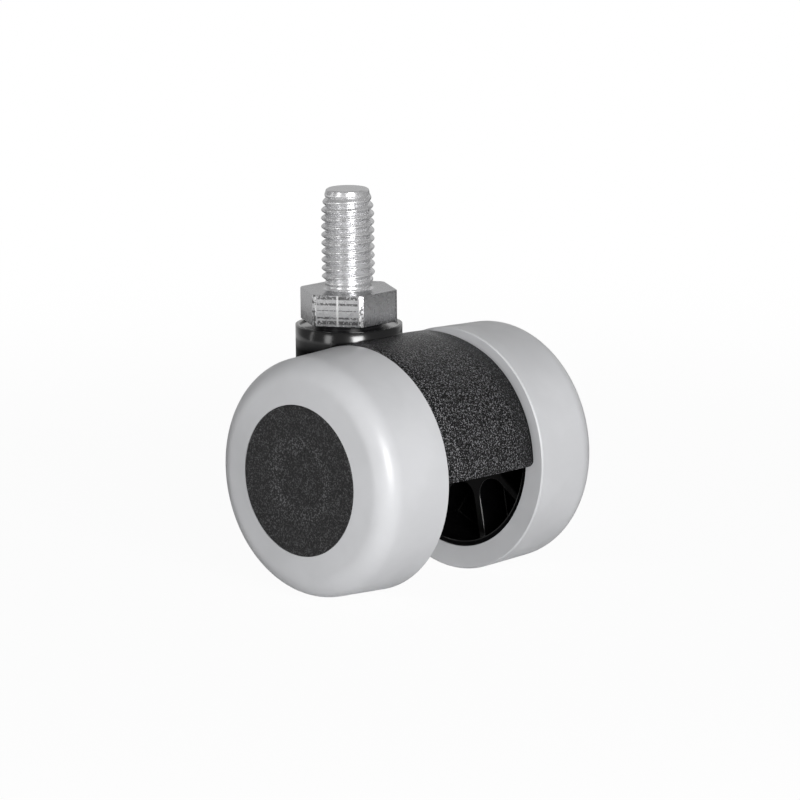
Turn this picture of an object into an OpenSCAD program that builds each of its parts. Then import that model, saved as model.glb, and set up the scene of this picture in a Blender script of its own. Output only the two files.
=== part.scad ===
// Twin wheel swivel castor with a threaded stem.
// The origin is on the stem's axis, at the top face of the hexagon. +Z points up along the stud,
// +X points from the stem to the trailing axle, and the axle lies along Y, with left at +Y.

/* [Stem] */
// Nominal diameter of the stud's thread
stud_d = 8; // [6:0.5:10]
// Length of the stud above the hexagon
stud_l = 15; // [10:1:40]
// Length of the cone at the stud's tip
stud_tip_l = 1.5; // [0.5:0.1:3]
// How far that cone narrows, on the radius
stud_tip_in = 0.8; // [0.2:0.1:1.2]
// Width of the hexagon across its flats
hex_af = 13; // [11:0.5:15]
// Height of the hexagon
hex_h = 4.75; // [3:0.25:8]
// How much of each corner of the hexagon is turned off
hex_corner_trim = 0.18; // [0.05:0.01:0.5]
// Diameter of the shank that turns in the bush
shank_d = 7; // [6:0.25:7.5]
// Length of the shank below its retaining ring
shank_tail = 2.6; // [1.5:0.1:4]
// Chamfer at the lower end of the shank
shank_chamfer = 0.6; // [0.2:0.1:1.2]

/* [Retaining ring] */
// Thickness of the split ring
ring_t = 0.8; // [0.4:0.1:1.2]
// How far the ring stands out of the shank
ring_out = 0.8; // [0.5:0.05:0.85]
// How deep the ring sits in the shank's groove
ring_seat = 0.55; // [0.3:0.05:0.8]
// Angle of the ring's split
ring_split = 55; // [20:5:120]

/* [Swivel bush] */
// Length of the bush's sleeve below its flange
bush_l = 13.2; // [8:0.1:16]
// Wall of the sleeve
bush_wall = 1; // [0.9:0.1:1.5]
// How far the flange stands out from the sleeve
bush_flange_w = 0.55; // [0.3:0.05:1]
// Thickness of the flange
bush_flange_t = 0.76; // [0.4:0.02:1.2]
// Chamfer at the sleeve's lower end
bush_chamfer = 0.3; // [0.1:0.05:0.5]

/* [Housing] */
// Distance from the stem's axis to the axle
trail = 12; // [10:0.5:16]
// Diameter of the socket boss
boss_d = 15.9; // [14:0.1:17]
// Height of the boss's top above the roof's edge
boss_rise = 1.36; // [0.8:0.02:4]
// Thickness of the boss's floor under the socket
boss_floor = 2.2; // [1.2:0.1:4]
// Rounding of the boss's lower edge
boss_round = 1.6; // [0.5:0.1:2.5]
// Width of the raised lip round the top of the boss
boss_lip_w = 0.65; // [0.4:0.05:1]
// Height of that lip
boss_lip_h = 0.23; // [0.1:0.01:0.6]
// Gap between the hood's side edges and the wheels
hood_side_gap = 0.4; // [0.3:0.05:1.5]
// How far the hood's front stays inside the wheels' outline
hood_step = 1.3; // [0.8:0.1:3]
// Radius of the flatter roof that runs on to the boss
roof_r = 24; // [21:0.5:40]
// How much higher the roof's edge is than the hood's front radius
roof_rise = 0.5; // [0.1:0.05:1.2]
// How far the roof reaches back beside the boss
roof_back = 1.9; // [1.3:0.1:4]
// How much higher the hood is along its middle than at its edges
hood_crown = 0.3; // [0.1:0.05:0.6]
// Wall of the hood
hood_wall = 1.6; // [1:0.1:2.5]
// How far the hood's front edge hangs below the axle
hood_drop = 0.3; // [0:0.1:2]
// Rounding of the hood's corners
hood_corner_r = 1.2; // [0.5:0.1:1.8]
// Rounding of the roof's back edge
roof_edge_r = 1.4; // [0.5:0.1:1.5]
// Chamfer along the hood's side edges
hood_edge = 0.2; // [0.1:0.05:0.5]
// Thickness of the web in the middle of the housing
web_t = 2.4; // [1.5:0.1:4]
// Height of the web's front end above the axle
web_front = 2.5; // [1:0.5:6]
// Diameter of the hub that holds the axle
hub_d = 10; // [8:0.5:12]
// Length of that hub
hub_l = 18; // [15:0.1:19]
// Number of cross ribs between the hub and the hood
rib_count = 3; // [2:1:4]
// Thickness of those ribs
rib_t = 1.2; // [0.8:0.1:2]
// How far the ribs stay inside the hood's side edges
rib_inset = 1.2; // [0.5:0.1:3]

/* [Wheels] */
// Diameter of the wheel at its inner edge
wheel_d = 36.4; // [33:0.1:42]
// Gap between the two wheels
wheel_gap = 19.6; // [19.3:0.1:24]
// Width of each wheel, over its cap
wheel_w = 13; // [11.5:0.1:16]
// Draft of the running surface, in degrees
tread_draft = 2.4; // [0.5:0.1:4]
// Radius of the tread's outer shoulder
shoulder_r = 3.6; // [2:0.1:4.5]
// Angle at which the shoulder meets the outer face in a crease
crease_turn = 86; // [75:1:89]
// Rise of the outer face from that crease to the cap
face_rise = 0.34; // [0.1:0.02:0.8]
// Width of the ring that the tread shows on the wheel's inner side
ring_band = 3.4; // [2.5:0.1:4]
// Thickness of that ring, along the axle
ring_band_t = 1.8; // [1:0.1:3]
// Chamfer on the tread's inner edge
tread_edge = 0.2; // [0.1:0.05:0.5]
// How far the core's rim steps out under the tread
rim_step = 1; // [0.5:0.1:1.5]
// Wall of the core's rim at its inner edge
rim_wall = 0.8; // [0.6:0.1:1.5]
// How far the core's rim stays behind the tread's ring
rim_set = 0.2; // [0.1:0.1:1]
// Depth of the spokes' edges behind the wheel's inner face
spoke_set = 3.4; // [2:0.1:5]
// Number of spokes in the core
spoke_count = 8; // [6:1:10]
// Thickness of each spoke
spoke_t = 1.2; // [0.8:0.1:2]
// Turn of the spokes about the axle, in degrees
spoke_turn = 35; // [0:1:44]
// Radius of the round inner end of the pockets between spokes
pocket_r = 2.7; // [2:0.1:3]
// Thickness of the disc that closes the core on its outer side
core_disc = 2.7; // [2.4:0.1:3.4]
// Wall of the core's hub round the axle
wheel_hub_wall = 1.85; // [1.2:0.05:2.4]

/* [Caps] */
// Diameter of the cap
cap_d = 22.5; // [21:0.1:24]
// Thickness of the cap at its edge
cap_t = 1.7; // [1.4:0.1:2]
// How far the cap stands out of the tread's face
cap_stand = 0.07; // [0.03:0.01:0.3]
// Rounding of the cap's edge
cap_edge_r = 0.25; // [0.1:0.05:0.4]
// Diameter of the dish in the middle of the cap
dish_d = 10.4; // [6:0.2:14]
// Depth of the dish
dish_depth = 0.24; // [0.1:0.02:0.5]
// Width of the slope round the dish
dish_slope = 1.2; // [0.6:0.1:2]
// Outer diameter of the snap ring behind the cap
snap_d = 19; // [16:0.1:19.4]
// Wall of the snap ring
snap_wall = 1; // [0.6:0.1:1.2]
// Length of the snap ring
snap_l = 1.2; // [0.8:0.1:1.4]

/* [Axle] */
// Diameter of the axle
axle_d = 5; // [4:0.25:5.5]
// How far the axle stands out of each wheel's hub
axle_end = 1.15; // [0.95:0.05:1.25]
// Chamfer at the axle's ends
axle_chamfer = 0.3; // [0.1:0.05:0.4]
// Width of the lock washer round the axle
washer_w = 3; // [2:0.1:3.4]
// Thickness of the lock washer's sheet
washer_t = 0.4; // [0.3:0.05:0.45]
// Number of teeth that grip the axle
washer_teeth = 6; // [4:1:8]
// Length of those teeth
tooth_l = 1.2; // [0.8:0.1:1.4]
// Width of the slots between the teeth
tooth_slot = 0.7; // [0.4:0.1:1]
// How far the teeth are dished outwards
tooth_dish = 0.3; // [0.1:0.05:0.35]

/* [Clearances] */
// Radial play of a turning fit
running_gap = 0.05; // [0.02:0.01:0.1]
// Gap between pieces that are pressed or moulded together
seat_gap = 0.02; // [0.01:0.01:0.05]
// Play along the axle at each end of a wheel's hub, and below the bush
end_gap = 0.15; // [0.1:0.05:0.3]
// Gap between the bush's flange and the hexagon
thrust_gap = 0.05; // [0.03:0.01:0.1]
// Depth of the pocket in the core that holds the lock washer
washer_room = 1.45; // [1.3:0.05:1.6]
// Gap round the lock washer in that pocket
washer_gap = 0.4; // [0.3:0.1:1]
// Space below the end of the shank
shank_room = 1; // [0.5:0.1:3]

/* [Hidden] */
$fn = 96;

// How far a cutting shape runs past the face that it opens, and a size beyond the whole castor
past = 1;
far = 60;

// How far a rounding's arc overshoots the two sides that it joins, so that it crosses them cleanly
overshoot = 0.01;

// Radii about the stem
stud_r = stud_d / 2;
hex_r = hex_af / 2 / cos(30);
shank_r = shank_d / 2;
groove_r = shank_r - ring_seat;
bush_bore_r = shank_r + running_gap;
bush_r = bush_bore_r + bush_wall;
socket_r = bush_r + seat_gap;
boss_r = boss_d / 2;

// Heights along the stem, from the hexagon down
hex_bottom = -hex_h;
flange_top = hex_bottom - thrust_gap;
socket_floor = flange_top - bush_flange_t;
boss_top = socket_floor + boss_lip_h;
bush_bottom = socket_floor - bush_l;
ring_top = bush_bottom - end_gap;
ring_bottom = ring_top - ring_t;
shank_bottom = ring_bottom - shank_tail;
bore_bottom = shank_bottom - shank_room;
boss_bottom = bore_bottom - boss_floor;

// Radii about the axle
axle_r = axle_d / 2;
hub_r = hub_d / 2;
wheel_r = wheel_d / 2;
wheel_bore_r = axle_r + running_gap;
wheel_hub_r = wheel_bore_r + wheel_hub_wall;
ring_r = wheel_r - ring_band;
rim_r = ring_r - rim_wall;
core_r = ring_r + rim_step;
washer_r = axle_r + washer_w;
cap_r = cap_d / 2;
hood_r = wheel_r - hood_step;

// Distances along the axle, from the middle of the castor outwards
wheel_in = wheel_gap / 2;
wheel_out = wheel_in + wheel_w;
hood_half = wheel_in - hood_side_gap;
core_face = wheel_out - cap_t;
core_hub_in = hub_l / 2 + end_gap;
core_hub_out = core_face - washer_room;
axle_half = core_hub_out + axle_end;

// The hood's front curves about the axle. Its roof curves about a lower point behind the axle, and
// both arcs meet smoothly at roof_turn, on the line through their centres.
roof_h = hood_r + roof_rise;
roof_turn = asin((roof_r - roof_h) / (roof_r - hood_r));
roof_x = -(roof_r - hood_r) * cos(roof_turn);
roof_z = roof_h - roof_r;
back_x = boss_r - trail - roof_back;
back_turn = acos((back_x - roof_x) / roof_r);
spare_turn = 10;
axle_z = boss_top - boss_rise - roof_h;

// The tread's outline. Its side leans inwards by the draft, and the shoulder's arc starts on it.
face_at_cap = wheel_out - cap_stand;
face_in_r = cap_r + seat_gap;
shoulder_y = face_at_cap - face_rise - shoulder_r * sin(crease_turn);
shoulder_x = wheel_r - (shoulder_r + (shoulder_y - wheel_in) * sin(tread_draft)) / cos(tread_draft);

// Moves a shape drawn about the axle to its place
module at_axle() {
    translate([trail, 0, axle_z]) children();
}

// Puts a shape drawn about Z, outer side up, on the axle's left end (side 1) or right end (side -1)
module on_side(side) {
    at_axle() mirror([0, side < 0 ? 1 : 0, 0]) rotate([-90, 0, 0]) children();
}

// Turns a flat shape drawn in X and Z about the axle's direction into a solid of a given width
module across(width) {
    rotate([90, 0, 0]) linear_extrude(height = width, center = true) children();
}

// What is cut away to round an outside corner whose two sides run along -X and -Y from the origin
module corner_cut(r) {
    difference() {
        translate([-r, -r]) square(r + past);
        translate([overshoot - r, overshoot - r]) circle(r);
    }
}

module stem() {
    color("silver") {
        rotate_extrude() polygon([
            [0, shank_bottom],
            [shank_r - shank_chamfer, shank_bottom],
            [shank_r, shank_bottom + shank_chamfer],
            [shank_r, ring_bottom - seat_gap],
            [groove_r, ring_bottom - seat_gap],
            [groove_r, ring_top + seat_gap],
            [shank_r, ring_top + seat_gap],
            [shank_r, hex_bottom],
            [stud_r, hex_bottom],
            [stud_r, stud_l - stud_tip_l],
            [stud_r - stud_tip_in, stud_l],
            [0, stud_l]
        ]);
        translate([0, 0, hex_bottom]) intersection() {
            rotate([0, 0, 30]) cylinder(r = hex_r, h = hex_h, $fn = 6);
            cylinder(r = hex_r - hex_corner_trim, h = hex_h);
        }
    }
}

module retaining_ring() {
    ring_in = groove_r + seat_gap;
    color("gray") rotate([0, 0, ring_split / 2]) rotate_extrude(angle = 360 - ring_split)
        translate([ring_in, ring_bottom]) square([shank_r + ring_out - ring_in, ring_t]);
}

module swivel_bush() {
    flange_r = bush_r + bush_flange_w;
    color("black") rotate_extrude() polygon([
        [bush_bore_r, bush_bottom],
        [bush_r - bush_chamfer, bush_bottom],
        [bush_r, bush_bottom + bush_chamfer],
        [bush_r, socket_floor],
        [flange_r, socket_floor],
        [flange_r, flange_top],
        [bush_bore_r, flange_top]
    ]);
}

// Section through the hood's wall at a given radius, crowned along the middle
module hood_section(r) {
    crown_r = (hood_half * hood_half + hood_crown * hood_crown) / (2 * hood_crown);
    intersection() {
        polygon([
            [r - hood_wall, -hood_half],
            [r - hood_edge, -hood_half],
            [r + past, -hood_half + hood_edge + past],
            [r + past, hood_half - hood_edge - past],
            [r - hood_edge, hood_half],
            [r - hood_wall, hood_half]
        ]);
        translate([r + hood_crown, 0]) translate([-crown_r, 0]) circle(crown_r, $fn = 256);
    }
}

// The hood's wall is swept both ways from the plane in which its two arcs meet. It is swept past its
// ends, which are then trimmed square and rounded.
module hood() {
    difference() {
        rotate([90, 0, 0]) rotate([0, 0, roof_turn]) {
            mirror([0, 1, 0]) rotate_extrude(angle = roof_turn + spare_turn) hood_section(hood_r);
            translate([hood_r - roof_r, 0, 0])
                rotate_extrude(angle = back_turn + spare_turn - roof_turn) hood_section(roof_r);
        }
        translate([0, -far / 2, -hood_drop - far]) cube(far);
        translate([back_x - far, -far / 2, 0]) cube(far);
        for (side = [-1, 1]) mirror([0, side < 0 ? 1 : 0, 0]) {
            // Lower front corner
            translate([0, hood_half, -hood_drop]) rotate([90, 0, 90])
                linear_extrude(height = far) mirror([0, 1]) corner_cut(hood_corner_r);
            // Corner beside the boss
            translate([back_x, hood_half, 0])
                linear_extrude(height = far) mirror([1, 0]) corner_cut(hood_corner_r);
        }
        // Back edge of the roof
        translate([back_x, 0, roof_h + hood_crown]) across(far)
            mirror([1, 0]) corner_cut(roof_edge_r);
    }
}

// Web between the boss, the roof and the hub, in the middle of the housing. Its upper edge runs
// inside the hood's wall, on points that keep clear of the plane in which the two arcs meet.
module web() {
    low = boss_bottom - axle_z + 2 * boss_round;
    inset = hood_wall / 2;
    front_turn = asin(web_front / hood_r);
    steps = 4;
    step = (roof_turn - front_turn) / (steps - 0.5);
    across(web_t) polygon(concat(
        [for (i = [0:steps - 1]) let(turn = front_turn + i * step)
            (hood_r - inset) * [cos(turn), sin(turn)]],
        [for (turn = [roof_turn + step / 2, back_turn])
            [roof_x, roof_z] + (roof_r - inset) * [cos(turn), sin(turn)]],
        [[-trail, roof_h - inset], [-trail, low], [0, -hub_r / 2]]
    ));
}

module ribs() {
    pitch = back_turn / (rib_count + 0.5);
    rib_w = 2 * (hood_half - rib_inset);
    for (i = [1:rib_count]) rotate([0, -pitch * (i - 0.25), 0])
        translate([0, -rib_w / 2, -rib_t / 2]) cube([hood_r - hood_wall / 2, rib_w, rib_t]);
}

// Socket boss, drawn about the stem's axis
module boss() {
    rotate_extrude() difference() {
        translate([0, boss_bottom]) square([boss_r, boss_top - boss_bottom]);
        translate([0, socket_floor]) square([boss_r - boss_lip_w, boss_lip_h + past]);
        translate([boss_r, boss_bottom]) mirror([0, 1]) corner_cut(boss_round);
    }
}

module housing() {
    color([0.1, 0.1, 0.11]) difference() {
        union() {
            boss();
            at_axle() {
                hood();
                web();
                ribs();
                rotate([90, 0, 0]) cylinder(r = hub_r, h = hub_l, center = true);
            }
        }
        translate([0, 0, bore_bottom]) cylinder(r = socket_r, h = far);
        at_axle() rotate([90, 0, 0]) cylinder(r = axle_r + seat_gap, h = far, center = true);
    }
}

module axle() {
    color("silver") on_side(1) rotate_extrude() polygon([
        [0, -axle_half],
        [axle_r - axle_chamfer, -axle_half],
        [axle_r, -axle_half + axle_chamfer],
        [axle_r, axle_half - axle_chamfer],
        [axle_r - axle_chamfer, axle_half],
        [0, axle_half]
    ]);
}

module lock_washer(side) {
    grip_r = axle_r + seat_gap;
    root_r = grip_r + tooth_l;
    low = core_hub_out + end_gap;
    slot_l = root_r + tooth_slot / 2;
    color("dimgray") on_side(side) difference() {
        rotate_extrude() polygon([
            [grip_r, low + tooth_dish],
            [root_r, low],
            [washer_r, low],
            [washer_r, low + washer_t],
            [root_r, low + washer_t],
            [grip_r, low + washer_t + tooth_dish]
        ]);
        for (i = [1:washer_teeth]) rotate([0, 0, i * 360 / washer_teeth])
            translate([0, -tooth_slot / 2, low - past])
                cube([slot_l, tooth_slot, washer_t + tooth_dish + 2 * past]);
    }
}

// Pocket between two spokes, with a round inner end that both spokes' sides touch
module pocket() {
    half = 180 / spoke_count;
    tip = spoke_t / 2 / sin(half);
    run = pocket_r / tan(half);
    translate([tip + pocket_r / sin(half), 0]) circle(pocket_r);
    polygon([
        [tip + run * cos(half), run * sin(half)],
        [tip + far * cos(half), far * sin(half)],
        [tip + far * cos(half), -far * sin(half)],
        [tip + run * cos(half), -run * sin(half)]
    ]);
}

// Outline of the spokes, with their ends sunk in the rim
module spokes() {
    difference() {
        circle(rim_r + rim_wall / 2);
        for (i = [0:spoke_count - 1]) rotate(spoke_turn + (i + 0.5) * 360 / spoke_count) pocket();
    }
}

module wheel_core(side) {
    spoke_top = wheel_in + spoke_set;
    disc_in = core_face - core_disc;
    color([0.06, 0.06, 0.06]) on_side(side) difference() {
        union() {
            rotate_extrude() polygon([
                [0, disc_in],
                [rim_r, disc_in],
                [rim_r, wheel_in + rim_set],
                [ring_r - seat_gap, wheel_in + rim_set],
                [ring_r - seat_gap, wheel_in + ring_band_t + seat_gap],
                [core_r - seat_gap, wheel_in + ring_band_t + seat_gap],
                [core_r - seat_gap, core_face - seat_gap],
                [0, core_face - seat_gap]
            ]);
            translate([0, 0, spoke_top])
                linear_extrude(height = disc_in + core_disc / 4 - spoke_top) spokes();
            translate([0, 0, core_hub_in])
                cylinder(r = wheel_hub_r, h = core_hub_out - core_hub_in);
        }
        // Room for the lock washer, groove for the cap's snap ring, and the bore
        translate([0, 0, core_hub_out]) cylinder(r = washer_r + washer_gap, h = far);
        rotate_extrude() translate([snap_d / 2 - snap_wall - seat_gap, core_face - snap_l - end_gap])
            square([snap_wall + 2 * seat_gap, snap_l + end_gap + past]);
        cylinder(r = wheel_bore_r, h = far);
    }
}

// The outline has a sharp shoulder first, at the point where the tangents to its arc meet
module tread_section() {
    mid_turn = (tread_draft + crease_turn) / 2;
    reach = shoulder_r / cos(crease_turn - mid_turn);
    difference() {
        polygon([
            [ring_r, wheel_in],
            [wheel_r - tread_edge, wheel_in],
            [wheel_r - tread_edge * tan(tread_draft), wheel_in + tread_edge],
            [shoulder_x + reach * cos(mid_turn), shoulder_y + reach * sin(mid_turn)],
            [shoulder_x + shoulder_r * cos(crease_turn), shoulder_y + shoulder_r * sin(crease_turn)],
            [face_in_r, face_at_cap],
            [face_in_r, core_face],
            [core_r, core_face],
            [core_r, wheel_in + ring_band_t],
            [ring_r, wheel_in + ring_band_t]
        ]);
        translate([shoulder_x, shoulder_y]) difference() {
            polygon([
                [0, 0],
                far * [cos(tread_draft), sin(tread_draft)],
                far * [1, 1],
                far * [cos(crease_turn), sin(crease_turn)]
            ]);
            circle(shoulder_r);
        }
    }
}

module tread(side) {
    color([0.75, 0.75, 0.77]) on_side(side) rotate_extrude() tread_section();
}

// Section of the cap. Its top falls into the dish over two equal arcs that meet halfway.
module cap_section() {
    dish_r = dish_d / 2;
    slope_r = (dish_slope * dish_slope + dish_depth * dish_depth) / (4 * dish_depth);
    difference() {
        union() {
            translate([0, core_face]) square([cap_r, cap_t - dish_depth / 2]);
            translate([dish_r, core_face]) square([cap_r - dish_r, cap_t]);
            intersection() {
                translate([dish_r, wheel_out - slope_r]) circle(slope_r);
                translate([dish_r - dish_slope / 2, core_face]) square([dish_slope / 2, cap_t]);
            }
        }
        translate([0, wheel_out - dish_depth]) square([dish_r - dish_slope, cap_t]);
        intersection() {
            translate([dish_r - dish_slope, wheel_out - dish_depth + slope_r]) circle(slope_r);
            translate([dish_r - dish_slope, core_face]) square([dish_slope / 2, cap_t]);
        }
        translate([cap_r, wheel_out]) corner_cut(cap_edge_r);
    }
    translate([snap_d / 2 - snap_wall, core_face - snap_l]) square([snap_wall, snap_l + cap_t / 2]);
}

module wheel_cap(side) {
    color([0.22, 0.22, 0.23]) on_side(side) rotate_extrude() cap_section();
}

stem();
retaining_ring();
swivel_bush();
housing();
axle();
lock_washer(1);  // lock_washer_left
lock_washer(-1);  // lock_washer_right
wheel_core(1);  // wheel_core_left
wheel_core(-1);  // wheel_core_right
tread(1);  // tread_left
tread(-1);  // tread_right
wheel_cap(1);  // wheel_cap_left
wheel_cap(-1);  // wheel_cap_right
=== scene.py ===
"""Twin wheel castor: the threaded stem, the finishes and the studio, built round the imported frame."""

import math

import bmesh
import bpy
from bpy.props import FloatProperty, FloatVectorProperty, IntProperty, PointerProperty
from mathutils import Matrix, Vector


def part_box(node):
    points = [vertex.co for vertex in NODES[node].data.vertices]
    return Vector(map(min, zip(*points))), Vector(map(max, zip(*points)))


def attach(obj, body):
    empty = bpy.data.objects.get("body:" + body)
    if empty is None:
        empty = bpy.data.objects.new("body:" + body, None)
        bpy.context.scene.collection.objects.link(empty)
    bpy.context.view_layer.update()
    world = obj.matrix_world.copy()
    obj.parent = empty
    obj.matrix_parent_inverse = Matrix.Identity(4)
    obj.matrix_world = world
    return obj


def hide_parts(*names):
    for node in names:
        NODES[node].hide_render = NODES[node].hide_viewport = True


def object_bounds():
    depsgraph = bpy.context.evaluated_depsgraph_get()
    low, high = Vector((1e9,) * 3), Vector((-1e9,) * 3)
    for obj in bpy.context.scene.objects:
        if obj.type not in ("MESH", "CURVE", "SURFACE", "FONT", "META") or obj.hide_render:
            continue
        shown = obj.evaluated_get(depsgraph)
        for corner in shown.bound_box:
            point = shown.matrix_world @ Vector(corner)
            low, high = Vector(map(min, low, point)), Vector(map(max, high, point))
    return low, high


bl_info = {
    "name": "Twin wheel castor",
    "version": (1, 0, 0),
    "blender": (4, 5, 0),
    "location": "View3D > Sidebar > Castor",
    "description": "Builds the threaded stem, the finishes and the studio of a twin wheel castor",
    "category": "Object",
}

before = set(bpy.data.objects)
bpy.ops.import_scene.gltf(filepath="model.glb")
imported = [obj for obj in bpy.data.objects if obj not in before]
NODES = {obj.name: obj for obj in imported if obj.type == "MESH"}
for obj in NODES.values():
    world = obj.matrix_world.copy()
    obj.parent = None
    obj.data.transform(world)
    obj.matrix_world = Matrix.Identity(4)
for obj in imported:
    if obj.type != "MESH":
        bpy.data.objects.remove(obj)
MM = 0.001

CAD_BOX = [list(corner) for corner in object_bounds()]
STEM_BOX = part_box("stem")
HOUSING_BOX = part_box("housing")
AXLE_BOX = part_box("axle")
RING_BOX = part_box("retaining_ring")
AXLE_CENTRE = (AXLE_BOX[0] + AXLE_BOX[1]) / 2

# The hexagon's face with rows of dark dashes and painted highlight lines, turned from +X, and its rows of
# dashes as (height, half width) in mm
DASH_AND_HIGHLIGHT_FACE = math.radians(-60)
MARK_ROWS = ((-0.4, 0.24), (-1.35, 0.17), (-2.3, 0.06), (-3.4, 0.14), (-4.1, 0.27))
# The side of the floor that gloss sees bright, turned from +X
BRIGHT_SIDE = math.radians(230)
# Steps of a quarter round, as angles
QUARTER = [math.radians(22.5 * i) for i in range(5)]


def length(name, description, default, low=0.0, high=1.0):
    """A size of the castor, in metres."""
    return FloatProperty(
        name=name, description=description, default=default, min=low, max=high,
        subtype="DISTANCE", unit="LENGTH", precision=5,
    )


def share(name, description, default, high=1.0):
    """A plain amount, such as a roughness."""
    return FloatProperty(
        name=name, description=description, default=default, min=0.0, max=high, subtype="FACTOR"
    )


def form(name, description, default):
    """The power of a curve."""
    return FloatProperty(name=name, description=description, default=default, min=1.0, max=4.0)


def turn(name, description, degrees):
    """An angle, given in degrees."""
    return FloatProperty(
        name=name, description=description, default=math.radians(degrees),
        subtype="ANGLE", unit="ROTATION",
    )


def colour(name, description, default):
    """A surface colour, in linear light."""
    return FloatVectorProperty(
        name=name, description=description, default=default, size=3,
        min=0.0, max=1.0, subtype="COLOR",
    )


class StemSizes(bpy.types.PropertyGroup):
    """Sizes of the threaded stem."""

    pitch: length("Pitch", "Distance from one thread crest to the next", 1.25 * MM)
    crest_r: length("Crest radius", "Radius over the thread's crests", 3.95 * MM)
    root_r: length("Root radius", "Radius at the bottom of the thread", 3.2 * MM)
    crest_z: length("Crest height", "Height of a crest on the +X side", 1.07 * MM)
    crest_power: form("Crest form", "Higher is flatter at the crest and narrower at the root", 1.7)
    runout: length("Runout", "Height over which the thread fades out above the hexagon", 1.3 * MM)
    neck_r: length("Neck radius", "Radius of the plain neck under the thread", 3.4 * MM)
    fillet: length("Fillet", "Radius between the neck and the hexagon", 0.6 * MM)
    tip_l: length("Tip length", "Length over which the crests taper at the stud's tip", 3.6 * MM)
    tip_power: form("Taper form", "Higher keeps the taper closer to the stud's tip", 1.6)
    tip_r: length("Tip radius", "Radius of the flat end of the stud", 3.12 * MM)
    bevel_h: length("Bevel height", "Height of the bevel at the stud's end", 0.12 * MM)
    bevel_w: length("Bevel width", "Width of the bevel at the stud's end", 0.14 * MM)
    start_l: length("Start length", "Length over which the thread deepens from the tip", 1.3 * MM)
    start_depth: length("Start depth", "How far the taper's roots may lie below the others", 0.25 * MM)
    hex_h: length("Hexagon height", "Height of the hexagon", 4.75 * MM)
    hex_edge: length("Hexagon edge", "Rounding of the hexagon's edges", 0.12 * MM)
    shank_r: length("Shank radius", "Radius of the shank in the bush", 3.5 * MM)
    shank_bevel: length("Shank bevel", "Bevel at the shank's lower end", 0.6 * MM)
    groove_r: length("Groove radius", "Radius at the bottom of the ring's groove", 2.95 * MM)
    groove_gap: length("Groove gap", "Play above and below the ring in its groove", 0.02 * MM)
    steps: IntProperty(
        name="Steps", description="Rings of points in each pitch", default=22, min=8, max=40
    )


class FinishColours(bpy.types.PropertyGroup):
    """Colours of the castor's materials."""

    steel: colour("Plated steel", "Stem and axle", (0.62, 0.62, 0.63))
    # Painted light: a lighter copy of the plating's colour for the stud, standing in for its brighter
    # reflections
    stud: colour("Plated stud", "The stud's thread", (0.8, 0.8, 0.81))
    # Painted highlight: colour of the light lines on the hexagon's face
    line_highlight: colour("Bright line", "Light lines on the hexagon", (0.97, 0.97, 0.97))
    spring: colour("Spring steel", "Retaining ring and lock washers", (0.30, 0.30, 0.31))
    bush: colour("Bush", "Acetal of the swivel bush", (0.008, 0.008, 0.009))
    hood: colour("Hood", "Grained nylon of the housing", (0.012, 0.012, 0.0125))
    boss: colour("Boss", "Glossy nylon of the socket boss", (0.002, 0.002, 0.0022))
    core: colour("Wheel core", "Nylon of the wheel cores", (0.002, 0.002, 0.0022))
    tread: colour("Tread", "Soft grey tread", (0.585, 0.59, 0.605))
    cap: colour("Cap", "Grained plastic of the wheel caps", (0.014, 0.014, 0.0145))
    floor: colour("Floor", "Plain floor", (0.88, 0.88, 0.88))


class FinishSizes(bpy.types.PropertyGroup):
    """Sizes of the grain and the soft forms that the materials draw."""

    grain: length("Grain", "Width of a pit of the moulded grain", 0.2 * MM)
    cap_grain: length("Cap grain depth", "Depth of the grain on the wheel caps", 0.08 * MM)
    hood_grain: length("Hood grain depth", "Depth of the grain on the hood", 0.14 * MM)
    # The painted highlight ring on the cap's specks lies round this radius
    dish_r: length("Dish radius", "Radius round which the cap's grain is brightest", 5.4 * MM)
    boss_r: length("Boss radius", "Distance from the stem's axis where the grained hood begins", 8.0 * MM)
    border_y: length("Border", "Distance from the middle where the hood's smooth border begins", 8.7 * MM)
    crown_y: length("Crown", "Distance from the middle where the hood's crown begins", 5.6 * MM)
    crown_w: length("Crown width", "Width over which the crown bends", 3.8 * MM)
    crown_h: length("Crown height", "How far the crown bends", 2.4 * MM)
    lip_r: length("Lip radius", "Radius where the boss's rounded lip begins", 7.6 * MM)
    lip_w: length("Lip width", "Height over which the lip bends", 1.97 * MM)
    lip_h: length("Lip height", "How far the lip bends", 0.5 * MM)
    gloss_h: length("Gloss height", "Height over which the boss gets glossy towards its lip", 2.5 * MM)
    core_edge: length("Core edge", "Rounding of the wheel core's edges", 0.3 * MM)
    hood_edge: length("Hood edge", "Rounding of the housing's edges", 0.25 * MM)


class StudioSettings(bpy.types.PropertyGroup):
    """Camera and light levels."""

    azimuth: turn("Azimuth", "Camera's turn about the castor", 44.609)
    elevation: turn("Elevation", "Camera's height above the horizon", 11.4625)
    roll: turn("Roll", "Camera's roll", 0.62574)
    pan: turn("Pan", "Camera's turn to the side of the axle's centre", 0.04666)
    tilt: turn("Tilt", "Camera's turn above the axle's centre", -0.37194)
    distance: length("Distance", "Camera's distance from the axle's centre", 1.318, 0.1, 10.0)
    lens: FloatProperty(
        name="Lens", description="Focal length on a 36 mm sensor, in millimetres",
        default=400.76, min=10.0, max=1000.0,
    )
    world_level: share("World level", "Light of the surroundings on matt surfaces", 0.07, 5.0)
    room_level: share("Room level", "How bright gloss shows the room in front of the backdrop", 0.25)
    backdrop_level: share("Backdrop level", "How bright gloss shows the backdrop", 0.85)
    key_level: share("Key level", "Level of the large light on the right", 1.38, 5.0)
    fill_level: share("Fill level", "Level of the light on the left", 0.17, 5.0)
    side_level: share("Side level", "Level of the narrow light far to the left", 0.04, 5.0)


def sizes():
    return bpy.context.scene.castor_stem


def colours():
    return bpy.context.scene.castor_colours


def finish_sizes():
    return bpy.context.scene.castor_finish


def studio():
    return bpy.context.scene.castor_studio


# Node trees


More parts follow.
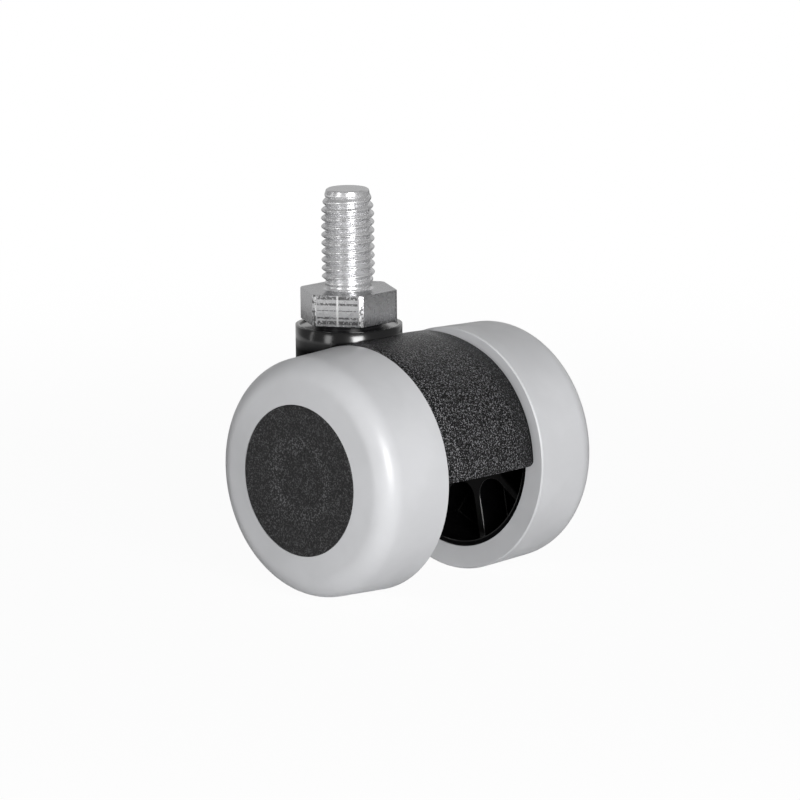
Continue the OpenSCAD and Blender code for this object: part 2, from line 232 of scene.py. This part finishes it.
class Finish:
    """One procedural finish: a Principled shader and the textures that drive it."""

    def __init__(self, name, base, roughness, metallic=0.0, specular=0.5, edge=1.0):
        self.material = bpy.data.materials.new(name)
        self.material.use_nodes = True
        self.tree = self.material.node_tree
        self.shader = self.tree.nodes["Principled BSDF"]
        self.shader.inputs["Base Color"].default_value = (*base, 1.0)
        self.shader.inputs["Roughness"].default_value = roughness
        self.shader.inputs["Metallic"].default_value = metallic
        self.shader.inputs["Specular IOR Level"].default_value = specular
        self.shader.inputs["Specular Tint"].default_value = (edge, edge, edge, 1.0)
        self.place = self.add("ShaderNodeTexCoord").outputs["Object"]

    def add(self, kind, **values):
        """A node with its properties set by name."""
        made = self.tree.nodes.new(kind)
        for name, value in values.items():
            setattr(made, name, value)
        return made

    def join(self, source, target):
        self.tree.links.new(source, target)

    def mapped(self, scale=(1, 1, 1), offset=(0, 0, 0)):
        """The object's coordinates, moved and stretched."""
        made = self.add("ShaderNodeMapping")
        made.inputs["Location"].default_value = offset
        made.inputs["Scale"].default_value = scale
        self.join(self.place, made.inputs["Vector"])
        return made.outputs["Vector"]

    def noise(self, size, detail=2.0, rough=0.5, place=None):
        """Noise with features of about the given size, from 0 to 1."""
        made = self.add("ShaderNodeTexNoise")
        made.inputs["Scale"].default_value = 1.0 / size
        made.inputs["Detail"].default_value = detail
        made.inputs["Roughness"].default_value = rough
        self.join(place or self.place, made.inputs["Vector"])
        return made.outputs["Fac"]

    def cells(self, size):
        """Distance to the nearest point of a scatter with cells of about the given size."""
        made = self.add("ShaderNodeTexVoronoi")
        made.inputs["Scale"].default_value = 1.0 / size
        self.join(self.place, made.inputs["Vector"])
        return made.outputs["Distance"]

    def remap(self, value, low, high, to_low=0.0, to_high=1.0):
        """A value carried smoothly from one range to another."""
        made = self.add("ShaderNodeMapRange", interpolation_type="SMOOTHSTEP")
        limits = {"From Min": low, "From Max": high, "To Min": to_low, "To Max": to_high}
        for name, number in limits.items():
            made.inputs[name].default_value = number
        self.join(value, made.inputs["Value"])
        return made.outputs["Result"]

    def math(self, operation, first, second=None):
        """A sum, product or other operation on two values or numbers."""
        made = self.add("ShaderNodeMath", operation=operation)
        for slot, value in enumerate((first, second)):
            if isinstance(value, (int, float)):
                made.inputs[slot].default_value = value
            elif value is not None:
                self.join(value, made.inputs[slot])
        return made.outputs[0]

    def rise(self, value, low, high):
        """From 0 up to a low value to 1 at a high one, rising ever faster like a rounding."""
        part = self.math("DIVIDE", self.math("SUBTRACT", value, low), high - low)
        part = self.math("MAXIMUM", part, 0.0)
        return self.math("MULTIPLY", part, part)

    def blend(self, amount, first, second):
        """A colour between two, by an amount."""
        made = self.add("ShaderNodeMix", data_type="RGBA")
        self.join(amount, made.inputs["Factor"])
        for slot, value in (("A", first), ("B", second)):
            socket = [s for s in made.inputs if s.name == slot and s.type == "RGBA"][0]
            if isinstance(value, bpy.types.NodeSocket):
                self.join(value, socket)
            else:
                socket.default_value = (*value, 1.0)
        return [s for s in made.outputs if s.type == "RGBA"][0]

    def radius(self, axis, centre=(0, 0, 0)):
        """Distance from a line along one axis (0, 1 or 2) through a centre."""
        flat = [1, 1, 1]
        flat[axis] = 0
        moved = self.mapped(scale=flat, offset=[-c * f for c, f in zip(centre, flat)])
        made = self.add("ShaderNodeVectorMath", operation="LENGTH")
        self.join(moved, made.inputs[0])
        return made.outputs["Value"]

    def along(self, axis):
        """One coordinate of the object's."""
        made = self.add("ShaderNodeSeparateXYZ")
        self.join(self.place, made.inputs[0])
        return made.outputs[axis]

    def toward(self, angle):
        """How far a point lies out in a level direction, turned from +X by an angle."""
        along_x = self.math("MULTIPLY", self.along(0), math.cos(angle))
        return self.math("ADD", along_x, self.math("MULTIPLY", self.along(1), math.sin(angle)))

    def rounded(self, radius):
        """A normal that runs round sharp edges."""
        made = self.add("ShaderNodeBevel", samples=6)
        made.inputs["Radius"].default_value = radius
        return made.outputs["Normal"]

    def bumps(self, *layers, base=None):
        """Stacks bumps of (height, depth in metres) on the shader's normal."""
        normal = base
        for height, depth in layers:
            made = self.add("ShaderNodeBump")
            made.inputs["Distance"].default_value = depth
            self.join(height, made.inputs["Height"])
            if normal:
                self.join(normal, made.inputs["Normal"])
            normal = made.outputs["Normal"]
        self.join(normal, self.shader.inputs["Normal"])

    def set_colour(self, value):
        self.join(value, self.shader.inputs["Base Color"])

    def set_roughness(self, value):
        self.join(value, self.shader.inputs["Roughness"])


def darker(base, factor):
    """A colour scaled towards black, or away from it."""
    return tuple(min(1.0, channel * factor) for channel in base)


def tread_finish():
    """Soft polyurethane: even grey with a faint flow pattern and a fine satin skin."""
    base = colours().tread
    made = Finish("soft_grey_tread", base, 0.34)
    flow = made.noise(9 * MM, 3.0)
    made.set_colour(made.blend(made.remap(flow, 0.3, 0.7), darker(base, 0.96), darker(base, 1.03)))
    skin = made.noise(0.5 * MM, 2.0)
    made.set_roughness(made.remap(made.noise(3 * MM, 3.0), 0.3, 0.7, 0.30, 0.40))
    made.bumps((skin, 0.004 * MM), (flow, 0.05 * MM))
    return made.material


def grain(made):
    """Height of spark-eroded grain, with pits and lands."""
    size = finish_sizes().grain
    pits = made.noise(size, 1.0, 0.6)
    lands = made.cells(size * 1.7)
    return made.math("ADD", pits, made.math("MULTIPLY", lands, 0.5))


def cap_finish():
    """Grained dark plastic of the wheel caps, with light specks painted on the grain as glints and a painted
    highlight ring on them round the dish.
    """
    base, size = colours().cap, finish_sizes()
    made = Finish("grained_cap_plastic", base, 0.5, specular=0.35)
    # Painted glints: light specks on the grain
    glint_speck = made.remap(made.noise(1.1 * size.grain, 1.0), 0.5, 0.66)
    cloud = made.remap(made.noise(2.5 * MM, 2.0), 0.35, 0.65, 0.5, 0.75)
    from_rim = made.math("SUBTRACT", made.radius(1, AXLE_CENTRE), size.dish_r)
    # Painted highlight: brighter specks in a ring round the dish, standing in for light on the dish's edge
    painted_dish_ring = made.remap(made.math("ABSOLUTE", from_rim), 0.2 * MM, 1.8 * MM, 0.5, 0.0)
    glint_speck = made.math("MULTIPLY", glint_speck, made.math("ADD", cloud, painted_dish_ring))
    made.set_colour(made.blend(glint_speck, darker(base, 0.7), darker(base, 7.0)))
    made.set_roughness(made.remap(made.noise(0.6 * MM, 1.0), 0.3, 0.7, 0.42, 0.6))
    made.bumps((grain(made), size.cap_grain))
    return made.material


def hood_skin(made, grained):
    """Colour of the hood: light specks painted on its grain as glints, and a plain dark border."""
    hood = colours().hood
    # Painted glints: light specks on the grain
    glint_speck = made.remap(made.noise(finish_sizes().grain, 1.0), 0.52, 0.68)
    skin = made.blend(glint_speck, darker(hood, 0.4), darker(hood, 19.0))
    return made.blend(grained, darker(hood, 0.3), skin)


def boss_lip(made, boss):
    """Drop of the rounded lip round the boss's top, growing towards its edge."""
    size = finish_sizes()
    top = HOUSING_BOX[1].z
    lip = made.rise(made.along(2), top - size.lip_w, top)
    outer = made.remap(made.radius(2), size.lip_r, size.lip_r + 0.2 * MM)
    return made.math("MULTIPLY", made.math("MULTIPLY", lip, outer), boss)


def housing_finish():
    """Grained nylon on the hood, smooth along its edges and glossy on the socket boss."""
    size = finish_sizes()
    made = Finish("castor_nylon", colours().hood, 0.4)
    hood = made.remap(made.radius(2), size.boss_r, size.boss_r + 0.35 * MM)
    boss = made.math("SUBTRACT", 1.0, hood)
    across = made.math("ABSOLUTE", made.along(1))
    inside = made.remap(across, size.border_y, size.border_y + 0.5 * MM, 1.0, 0.0)
    grained = made.math("MULTIPLY", hood, inside)
    made.set_colour(made.blend(hood, colours().boss, hood_skin(made, grained)))
    made.set_roughness(made.remap(hood, 0.0, 1.0, 0.18, 0.34))
    glossy_z = -6.3 * MM
    gloss = made.remap(made.along(2), glossy_z - size.gloss_h, glossy_z, 0.02, 0.8)
    gloss = made.math("MULTIPLY", gloss, boss)
    gloss = made.math("ADD", gloss, made.math("MULTIPLY", hood, 0.1))
    made.join(gloss, made.shader.inputs["Specular IOR Level"])
    crown = made.rise(across, size.crown_y, size.crown_y + size.crown_w)
    crown = made.math("MULTIPLY", crown, hood)
    made.bumps(
        (made.math("SUBTRACT", 1.0, crown), size.crown_h),
        (made.math("SUBTRACT", 1.0, boss_lip(made, boss)), size.lip_h),
        (made.math("MULTIPLY", grain(made), grained), size.hood_grain),
        (made.noise(2.5 * MM, 1.0), 0.03 * MM),
        base=made.rounded(size.hood_edge),
    )
    return made.material


def core_finish():
    """Glossy moulded nylon with faint flow marks."""
    base = colours().core
    made = Finish("glossy_core_nylon", base, 0.16, specular=0.25)
    flow = made.noise(2.0 * MM, 2.0)
    made.set_colour(made.blend(made.remap(flow, 0.3, 0.7), darker(base, 0.8), darker(base, 1.4)))
    made.set_roughness(made.remap(made.noise(1.2 * MM, 2.0), 0.3, 0.7, 0.1, 0.18))
    soft = made.rounded(finish_sizes().core_edge)
    turned = made.add("ShaderNodeVectorMath", operation="DOT_PRODUCT")
    made.join(soft, turned.inputs[0])
    made.join(made.add("ShaderNodeNewGeometry").outputs["Normal"], turned.inputs[1])
    on_edge = made.remap(turned.outputs["Value"], 0.86, 0.985, 1.0, 0.12)
    made.join(on_edge, made.shader.inputs["Specular IOR Level"])
    made.bumps((flow, 0.01 * MM), base=soft)
    return made.material


def bush_finish():
    """Black acetal, turned smooth."""
    base = colours().bush
    made = Finish("black_acetal", base, 0.2, specular=0.4)
    rings = made.noise(0.35 * MM, 2.0, place=made.mapped(scale=(0.05, 0.05, 1)))
    made.set_colour(made.blend(made.remap(rings, 0.3, 0.7), darker(base, 0.7), darker(base, 1.5)))
    made.set_roughness(made.remap(rings, 0.3, 0.7, 0.15, 0.3))
    made.bumps((rings, 0.006 * MM))
    return made.material


def face_dashes_and_highlights(made):
    """Rows of dark dashes on one face of the hexagon, and upright light lines painted as highlights along
    its middle and its corners.
    """
    flat = STEM_BOX[1].x
    z = made.along(2)
    on_face = made.math("GREATER_THAN", made.toward(DASH_AND_HIGHLIGHT_FACE), flat - 0.06 * MM)
    on_face = made.math("MULTIPLY", on_face, made.math("LESS_THAN", z, 0.0))
    side = made.math("ABSOLUTE", made.toward(DASH_AND_HIGHLIGHT_FACE + math.radians(90)))
    rows = 0.0
    for height, half in MARK_ROWS:
        away = made.math("ABSOLUTE", made.math("SUBTRACT", z, height * MM))
        rows = made.math("MAXIMUM", made.remap(away, 0.7 * half * MM, 1.3 * half * MM, 1.0, 0.0), rows)
    dashes = made.remap(made.noise(0.25 * MM, 1.0), 0.54, 0.64, 1.0, 0.0)
    within = made.remap(side, 3.0 * MM, 3.2 * MM, 1.0, 0.0)
    dark = made.math("MULTIPLY", rows, dashes)
    dark = made.math("MULTIPLY", dark, made.math("MULTIPLY", within, on_face))
    # Painted highlights: upright light lines along the face's middle and at its corners
    middle = made.remap(side, 0.1 * MM, 0.2 * MM, 1.0, 0.0)
    from_line = made.math("ABSOLUTE", made.math("SUBTRACT", side, 3.4 * MM))
    outer = made.remap(from_line, 0.08 * MM, 0.16 * MM, 1.0, 0.0)
    light = made.math("MULTIPLY", made.math("MAXIMUM", middle, outer), on_face)
    return dark, light


def corner_shade_patches(made):
    """Painted dark patches on the hexagon's turned corners: painted shade that dulls the corners' highlight.
    """
    corner = STEM_BOX[1].y
    shade_spots = made.remap(made.noise(0.45 * MM, 1.0), 0.42, 0.52, 1.0, 0.0)
    return made.math("MULTIPLY", shade_spots, made.remap(made.radius(2), corner - 0.05 * MM, corner - 0.02 * MM))


def stem_finish():
    """Bright zinc plate: duller on the stud's thread, with a painted lighter colour there for its brighter
    reflections; smooth on the hexagon, with rows of dark dashes, painted highlight lines and painted dark
    patches on its corners.
    """
    tones = colours()
    base = tones.steel
    made = Finish("plated_stem_steel", base, 0.22, metallic=1.0, edge=0.55)
    on_stud = made.remap(made.along(2), 0.0, 0.1 * MM)
    mottle = made.noise(0.7 * MM, 2.0, 0.6)
    shade = made.blend(made.remap(mottle, 0.3, 0.7), darker(base, 0.94), darker(base, 1.04))
    dark, light = face_dashes_and_highlights(made)
    shade = made.blend(made.math("MULTIPLY", dark, 0.85), shade, darker(base, 0.15))
    # Painted highlights: the light lines on the hexagon's face
    shade = made.blend(light, shade, tones.line_highlight)
    # Painted shade: dark patches on the hexagon's corners dull their highlight
    shade = made.blend(made.math("MULTIPLY", corner_shade_patches(made), 0.9), shade, darker(base, 0.2))
    # Painted light: the stud takes a lighter copy of the plating's colour for its brighter reflections
    made.set_colour(made.blend(on_stud, shade, tones.stud))
    made.join(made.remap(on_stud, 0.0, 1.0, 1.0, 0.8), made.shader.inputs["Metallic"])
    made.set_roughness(made.remap(mottle, 0.25, 0.75, 0.24, 0.32))
    made.bumps((made.math("MULTIPLY", made.noise(0.5 * MM, 1.0), on_stud), 0.003 * MM))
    return made.material


def steel_finish(name, base, size):
    """Plated or spring steel of a small part inside the castor."""
    made = Finish(name, base, 0.28, metallic=1.0)
    mottle = made.noise(size, 3.0, 0.6)
    made.set_colour(made.blend(made.remap(mottle, 0.3, 0.7), darker(base, 0.8), darker(base, 1.15)))
    made.set_roughness(made.remap(mottle, 0.25, 0.75, 0.2, 0.38))
    made.bumps((made.noise(size / 3, 2.0), 0.008 * MM))
    return made.material


def dress(material, *names):
    """Gives CAD nodes their finish."""
    for name in names:
        slots = NODES[name].material_slots
        if not slots:
            raise RuntimeError(f"{name} has no material slot")
        for slot in slots:
            slot.material = material


# The threaded stem


def stem_angles():
    """Angles round the stem, closer together at the hexagon's turned corners."""
    corners = [math.radians(30 + 60 * i) for i in range(6)]
    turned_off = math.radians(30) - math.acos(STEM_BOX[1].x / STEM_BOX[1].y)
    near = [turned_off * part for part in (-1.0, -0.5, 0.0, 0.5, 1.0)]
    even = [math.radians(degrees) for degrees in range(0, 360, 3)]
    kept = [a for a in even if all(abs(a - c) > 1.1 * turned_off for c in corners)]
    return sorted(kept + [c + n for c in corners for n in near])


def hexagon_radius(angle, inset):
    """Radius of the hexagon's outline at an angle, moved inwards by an inset."""
    flat = STEM_BOX[1].x - inset
    corner = STEM_BOX[1].y - inset
    nearest = math.radians(60) * round(angle / math.radians(60))
    return min(flat / math.cos(angle - nearest), corner)


def thread_radius(angle, height):
    """Radius of the thread, which fades into the neck at its foot and tapers at its tip."""
    size = sizes()
    phase = (height - size.crest_z) / size.pitch - angle / (2 * math.pi)
    from_crest = abs(2 * (phase - round(phase)))
    rise = min(1.0, max(0.0, (height - size.fillet) / size.runout))
    crest = size.neck_r + (size.crest_r - size.neck_r) * rise
    root = size.neck_r + (size.root_r - size.neck_r) * rise
    from_top = STEM_BOX[1].z - height
    taper = max(0.0, 1.0 - from_top / size.tip_l)
    crest -= (size.crest_r - size.tip_r) * taper ** size.tip_power
    depth = min(crest - root, crest - size.root_r + size.start_depth)
    depth *= min(1.0, from_top / size.start_l)
    return crest - max(0.0, depth) * from_crest ** size.crest_power


def plain_ring(angles, height, radius):
    """A round ring at a height."""
    return height, [radius] * len(angles)


def shank_rings(angles):
    """The shank under the hexagon, with the retaining ring's groove."""
    size = sizes()
    low = STEM_BOX[0].z
    groove_low = RING_BOX[0].z - size.groove_gap
    groove_top = RING_BOX[1].z + size.groove_gap
    outline = (
        (low, size.shank_r - size.shank_bevel),
        (low + size.shank_bevel, size.shank_r),
        (groove_low, size.shank_r),
        (groove_low, size.groove_r),
        (groove_top, size.groove_r),
        (groove_top, size.shank_r),
        (-size.hex_h, size.shank_r),
    )
    return [plain_ring(angles, height, radius) for height, radius in outline]


def hexagon_rings(angles):
    """The hexagon with its rounded edges, from below."""
    size = sizes()
    edge = size.hex_edge
    rounding = [(edge * (1 - math.sin(t)), edge * (1 - math.cos(t))) for t in QUARTER]
    heights = [(-size.hex_h + below, inset) for below, inset in reversed(rounding)]
    heights += [(-below, inset) for below, inset in rounding]
    return [(height, [hexagon_radius(a, inset) for a in angles]) for height, inset in heights]


def stud_rings(angles):
    """The fillet on the hexagon, the thread and the bevel at the stud's end."""
    size = sizes()
    top = STEM_BOX[1].z
    fillet = size.fillet
    rings = []
    for t in QUARTER:
        radius = size.neck_r + fillet * (1 - math.sin(t))
        rings.append(plain_ring(angles, fillet * (1 - math.cos(t)), radius))
    step = size.pitch / size.steps
    bevel_z = top - size.bevel_h
    clear = 0.03 * MM
    count = int((bevel_z - clear - fillet) / step)
    heights = [fillet + i * step for i in range(1, count + 1)] + [bevel_z]
    rings += [(z, [thread_radius(a, z) for a in angles]) for z in heights]
    rings.append(plain_ring(angles, top, size.tip_r - size.bevel_w))
    return rings


def ringed_solid(name, angles, rings):
    """A closed mesh over rings of radii about Z, with a point in the middle of each end."""
    built = bmesh.new()
    rows = []
    for height, radii in rings:
        rows.append([
            built.verts.new((r * math.cos(a), r * math.sin(a), height)) for a, r in zip(angles, radii)
        ])
    count = len(angles)
    for lower, upper in zip(rows, rows[1:]):
        for i in range(count):
            j = (i + 1) % count
            built.faces.new((lower[i], lower[j], upper[j], upper[i]))
    ends = [built.verts.new((0, 0, rings[0][0])), built.verts.new((0, 0, rings[-1][0]))]
    for i in range(count):
        j = (i + 1) % count
        built.faces.new((rows[0][j], rows[0][i], ends[0]))
        built.faces.new((rows[-1][i], rows[-1][j], ends[1]))
    mesh = bpy.data.meshes.new(name)
    built.to_mesh(mesh)
    built.free()
    piece = bpy.data.objects.new(name, mesh)
    bpy.context.scene.collection.objects.link(piece)
    return piece


def smooth(piece, degrees):
    """Smooth shading, with edges sharper than an angle kept crisp."""
    mesh = piece.data
    mesh.shade_smooth()
    mesh.set_sharp_from_angle(angle=math.radians(degrees))


def build_stem():
    """The stem with its helical thread, in place of the plain one."""
    angles = stem_angles()
    rings = shank_rings(angles) + hexagon_rings(angles) + stud_rings(angles)
    piece = ringed_solid("threaded_stem", angles, rings)
    smooth(piece, degrees=20)
    piece.data.materials.append(stem_finish())
    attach(piece, "stem")
    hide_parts("stem")
    return piece


# The studio


def outward(azimuth, elevation):
    """A direction away from the castor, turned from -Y towards +X and raised over the horizon."""
    level = math.cos(elevation)
    return Vector((math.sin(azimuth) * level, -math.cos(azimuth) * level, math.sin(elevation)))


def camera_axes():
    """The camera's right, up and forward directions and its place, in the castor's frame."""
    view = studio()
    back = outward(view.azimuth, view.elevation)
    right = Vector((math.cos(view.azimuth), math.sin(view.azimuth), 0))
    up = back.cross(right)
    rows = Matrix((right, up, -back))
    pan = Matrix((
        (math.cos(view.pan), 0, math.sin(view.pan)),
        (0, 1, 0),
        (-math.sin(view.pan), 0, math.cos(view.pan)),
    ))
    tilt = Matrix((
        (1, 0, 0),
        (0, math.cos(view.tilt), math.sin(view.tilt)),
        (0, -math.sin(view.tilt), math.cos(view.tilt)),
    ))
    roll = Matrix((
        (math.cos(view.roll), -math.sin(view.roll), 0),
        (math.sin(view.roll), math.cos(view.roll), 0),
        (0, 0, 1),
    ))
    return roll @ tilt @ pan @ rows, AXLE_CENTRE + back * view.distance


def place_camera():
    """The camera from which the photograph was taken."""
    rows, place = camera_axes()
    data = bpy.data.cameras.new("photo_camera")
    data.sensor_width = 36.0
    data.lens = studio().lens
    data.clip_start, data.clip_end = 0.05, 20.0
    camera = bpy.data.objects.new("photo_camera", data)
    bpy.context.scene.collection.objects.link(camera)
    turned = Matrix((rows[0], rows[1], -rows[2])).transposed()
    camera.matrix_world = Matrix.Translation(place) @ turned.to_4x4()
    bpy.context.scene.camera = camera


def softbox(name, azimuth, elevation, width, height, level, distance=1.0):
    """A rectangular light that faces the castor. At level 1 a facing matt surface shows its own colour."""
    back = outward(math.radians(azimuth), math.radians(elevation))
    data = bpy.data.lights.new(name, "AREA")
    data.shape = "RECTANGLE"
    data.size, data.size_y = width, height
    data.energy = level * math.pi ** 2 * distance ** 2
    lamp = bpy.data.objects.new(name, data)
    bpy.context.scene.collection.objects.link(lamp)
    lamp.location = AXLE_CENTRE + back * distance
    lamp.rotation_euler = (-back).to_track_quat("-Z", "Y").to_euler()
    return lamp


def backdrop_side(tree, vector, low, high):
    """From 0 in front of the castor to 1 at the backdrop behind it, for a direction."""
    a = studio().azimuth
    toward = tree.nodes.new("ShaderNodeVectorMath")
    toward.operation = "DOT_PRODUCT"
    tree.links.new(vector, toward.inputs[0])
    toward.inputs[1].default_value = (-math.sin(a), math.cos(a), 0)
    ranged = tree.nodes.new("ShaderNodeMapRange")
    ranged.interpolation_type = "SMOOTHSTEP"
    ranged.inputs["From Min"].default_value = low
    ranged.inputs["From Max"].default_value = high
    tree.links.new(toward.outputs["Value"], ranged.inputs["Value"])
    return ranged.outputs["Result"]


def background(tree, strength):
    """A white background of a strength that is a number or a socket."""
    made = tree.nodes.new("ShaderNodeBackground")
    made.inputs["Color"].default_value = (1, 1, 1, 1)
    if isinstance(strength, bpy.types.NodeSocket):
        tree.links.new(strength, made.inputs["Strength"])
    else:
        made.inputs["Strength"].default_value = strength
    return made.outputs[0]


def mixed_shader(tree, amount, first, second):
    """A mix of two shaders by an amount."""
    made = tree.nodes.new("ShaderNodeMixShader")
    for slot, socket in enumerate((amount, first, second)):
        tree.links.new(socket, made.inputs[slot])
    return made.outputs[0]


def surroundings():
    """White backdrop for the camera, metal and glass, a dimmer room in front of it for gloss, and a
    soft level on matt surfaces."""
    world = bpy.data.worlds.new("studio")
    bpy.context.scene.world = world
    world.use_nodes = True
    tree = world.node_tree
    rays = tree.nodes.new("ShaderNodeLightPath").outputs
    direction = tree.nodes.new("ShaderNodeTexCoord").outputs["Generated"]
    glossy = tree.nodes.new("ShaderNodeMapRange")
    glossy.inputs["To Min"].default_value = studio().room_level
    glossy.inputs["To Max"].default_value = studio().backdrop_level
    tree.links.new(backdrop_side(tree, direction, 0.5, 0.95), glossy.inputs["Value"])
    matt = background(tree, studio().world_level)
    lit = mixed_shader(tree, rays["Is Glossy Ray"], matt, background(tree, glossy.outputs[0]))
    seen = tree.nodes.new("ShaderNodeMath")
    seen.operation = "MAXIMUM"
    tree.links.new(rays["Is Camera Ray"], seen.inputs[0])
    tree.links.new(rays["Is Transmission Ray"], seen.inputs[1])
    shown = mixed_shader(tree, seen.outputs[0], lit, background(tree, 1.0))
    tree.links.new(shown, tree.nodes["World Output"].inputs["Surface"])


def floor_finish():
    """Pale matt floor that the camera sees as white, with the castor's shadow on it."""
    made = Finish("pale_floor", colours().floor, 0.9, specular=0.0)
    rays = made.add("ShaderNodeLightPath").outputs
    out = made.radius(2)
    white = made.remap(made.remap(out, 0.05, 0.3), 0.0, 1.0, 0.96, 1.0)
    camera = made.math("MULTIPLY", rays["Is Camera Ray"], white)
    bright_side = made.remap(made.toward(BRIGHT_SIDE), -0.15, 0.1, 0.0, 0.7)
    bright = made.math("MULTIPLY", made.remap(out, 0.186, 0.2), bright_side)
    glossy = made.math("MULTIPLY", rays["Is Glossy Ray"], bright)
    glow = made.add("ShaderNodeEmission").outputs[0]
    amount = made.math("MAXIMUM", camera, glossy)
    shown = mixed_shader(made.tree, amount, made.shader.outputs[0], glow)
    made.join(shown, made.tree.nodes["Material Output"].inputs["Surface"])
    return made.material


def lay_floor():
    """A round floor under the wheels."""
    mesh = bpy.data.meshes.new("floor")
    built = bmesh.new()
    bmesh.ops.create_circle(built, cap_ends=True, segments=96, radius=4.0)
    built.to_mesh(mesh)
    built.free()
    floor = bpy.data.objects.new("floor", mesh)
    bpy.context.scene.collection.objects.link(floor)
    floor.location = (0, 0, CAD_BOX[0][2])
    mesh.materials.append(floor_finish())


# Operators


class CASTOR_OT_stem(bpy.types.Operator):
    """Builds the threaded stem in place of the plain one"""

    bl_idname = "castor.stem"
    bl_label = "Threaded stem"

    def execute(self, context):
        build_stem()
        return {"FINISHED"}


class CASTOR_OT_housing(bpy.types.Operator):
    """Gives the housing its grained hood and glossy boss, and the bush its finish"""

    bl_idname = "castor.housing"
    bl_label = "Housing and bush"

    def execute(self, context):
        dress(housing_finish(), "housing")
        dress(bush_finish(), "swivel_bush")
        return {"FINISHED"}


class CASTOR_OT_wheels(bpy.types.Operator):
    """Gives the treads, cores and caps of both wheels their finishes"""

    bl_idname = "castor.wheels"
    bl_label = "Wheels"

    def execute(self, context):
        dress(tread_finish(), "tread_left", "tread_right")
        dress(core_finish(), "wheel_core_left", "wheel_core_right")
        dress(cap_finish(), "wheel_cap_left", "wheel_cap_right")
        return {"FINISHED"}


class CASTOR_OT_fasteners(bpy.types.Operator):
    """Gives the axle, lock washers and retaining ring their finishes"""

    bl_idname = "castor.fasteners"
    bl_label = "Axle, washers and ring"

    def execute(self, context):
        dress(steel_finish("plated_axle_steel", colours().steel, 0.8 * MM), "axle")
        dress(
            steel_finish("dark_spring_steel", colours().spring, 0.5 * MM),
            "lock_washer_left", "lock_washer_right", "retaining_ring",
        )
        return {"FINISHED"}


class CASTOR_OT_studio(bpy.types.Operator):
    """Sets up the floor, the surroundings, the lights and the camera"""

    bl_idname = "castor.studio"
    bl_label = "Studio"

    def execute(self, context):
        view = studio()
        context.scene.view_settings.view_transform = "Standard"
        surroundings()
        lay_floor()
        place_camera()
        softbox("key_light", azimuth=63, elevation=11, width=0.42, height=0.7, level=view.key_level)
        softbox("fill_light", azimuth=-2, elevation=11, width=0.22, height=0.7, level=view.fill_level)
        softbox("side_light", azimuth=-44, elevation=10, width=0.07, height=0.8, level=view.side_level)
        return {"FINISHED"}


class CASTOR_PT_panel(bpy.types.Panel):
    """Lists the castor's pieces and the studio"""

    bl_idname = "CASTOR_PT_panel"
    bl_label = "Twin wheel castor"
    bl_space_type = "VIEW_3D"
    bl_region_type = "UI"
    bl_category = "Castor"

    def draw(self, context):
        for operator in OPERATORS:
            self.layout.operator(operator.bl_idname)
        for settings in (sizes(), colours(), finish_sizes(), studio()):
            box = self.layout.box()
            for name in settings.__annotations__:
                box.prop(settings, name)


GROUPS = (StemSizes, FinishColours, FinishSizes, StudioSettings)
OPERATORS = (
    CASTOR_OT_stem,
    CASTOR_OT_housing,
    CASTOR_OT_wheels,
    CASTOR_OT_fasteners,
    CASTOR_OT_studio,
)


def register():
    for listed in (*GROUPS, *OPERATORS, CASTOR_PT_panel):
        bpy.utils.register_class(listed)
    bpy.types.Scene.castor_stem = PointerProperty(type=StemSizes)
    bpy.types.Scene.castor_colours = PointerProperty(type=FinishColours)
    bpy.types.Scene.castor_finish = PointerProperty(type=FinishSizes)
    bpy.types.Scene.castor_studio = PointerProperty(type=StudioSettings)


def unregister():
    del bpy.types.Scene.castor_studio
    del bpy.types.Scene.castor_finish
    del bpy.types.Scene.castor_colours
    del bpy.types.Scene.castor_stem
    for listed in reversed((*GROUPS, *OPERATORS, CASTOR_PT_panel)):
        bpy.utils.unregister_class(listed)


def main():
    register()
    bpy.ops.castor.stem()
    bpy.ops.castor.housing()
    bpy.ops.castor.wheels()
    bpy.ops.castor.fasteners()
    bpy.ops.castor.studio()


if __name__ == "__main__":
    main()
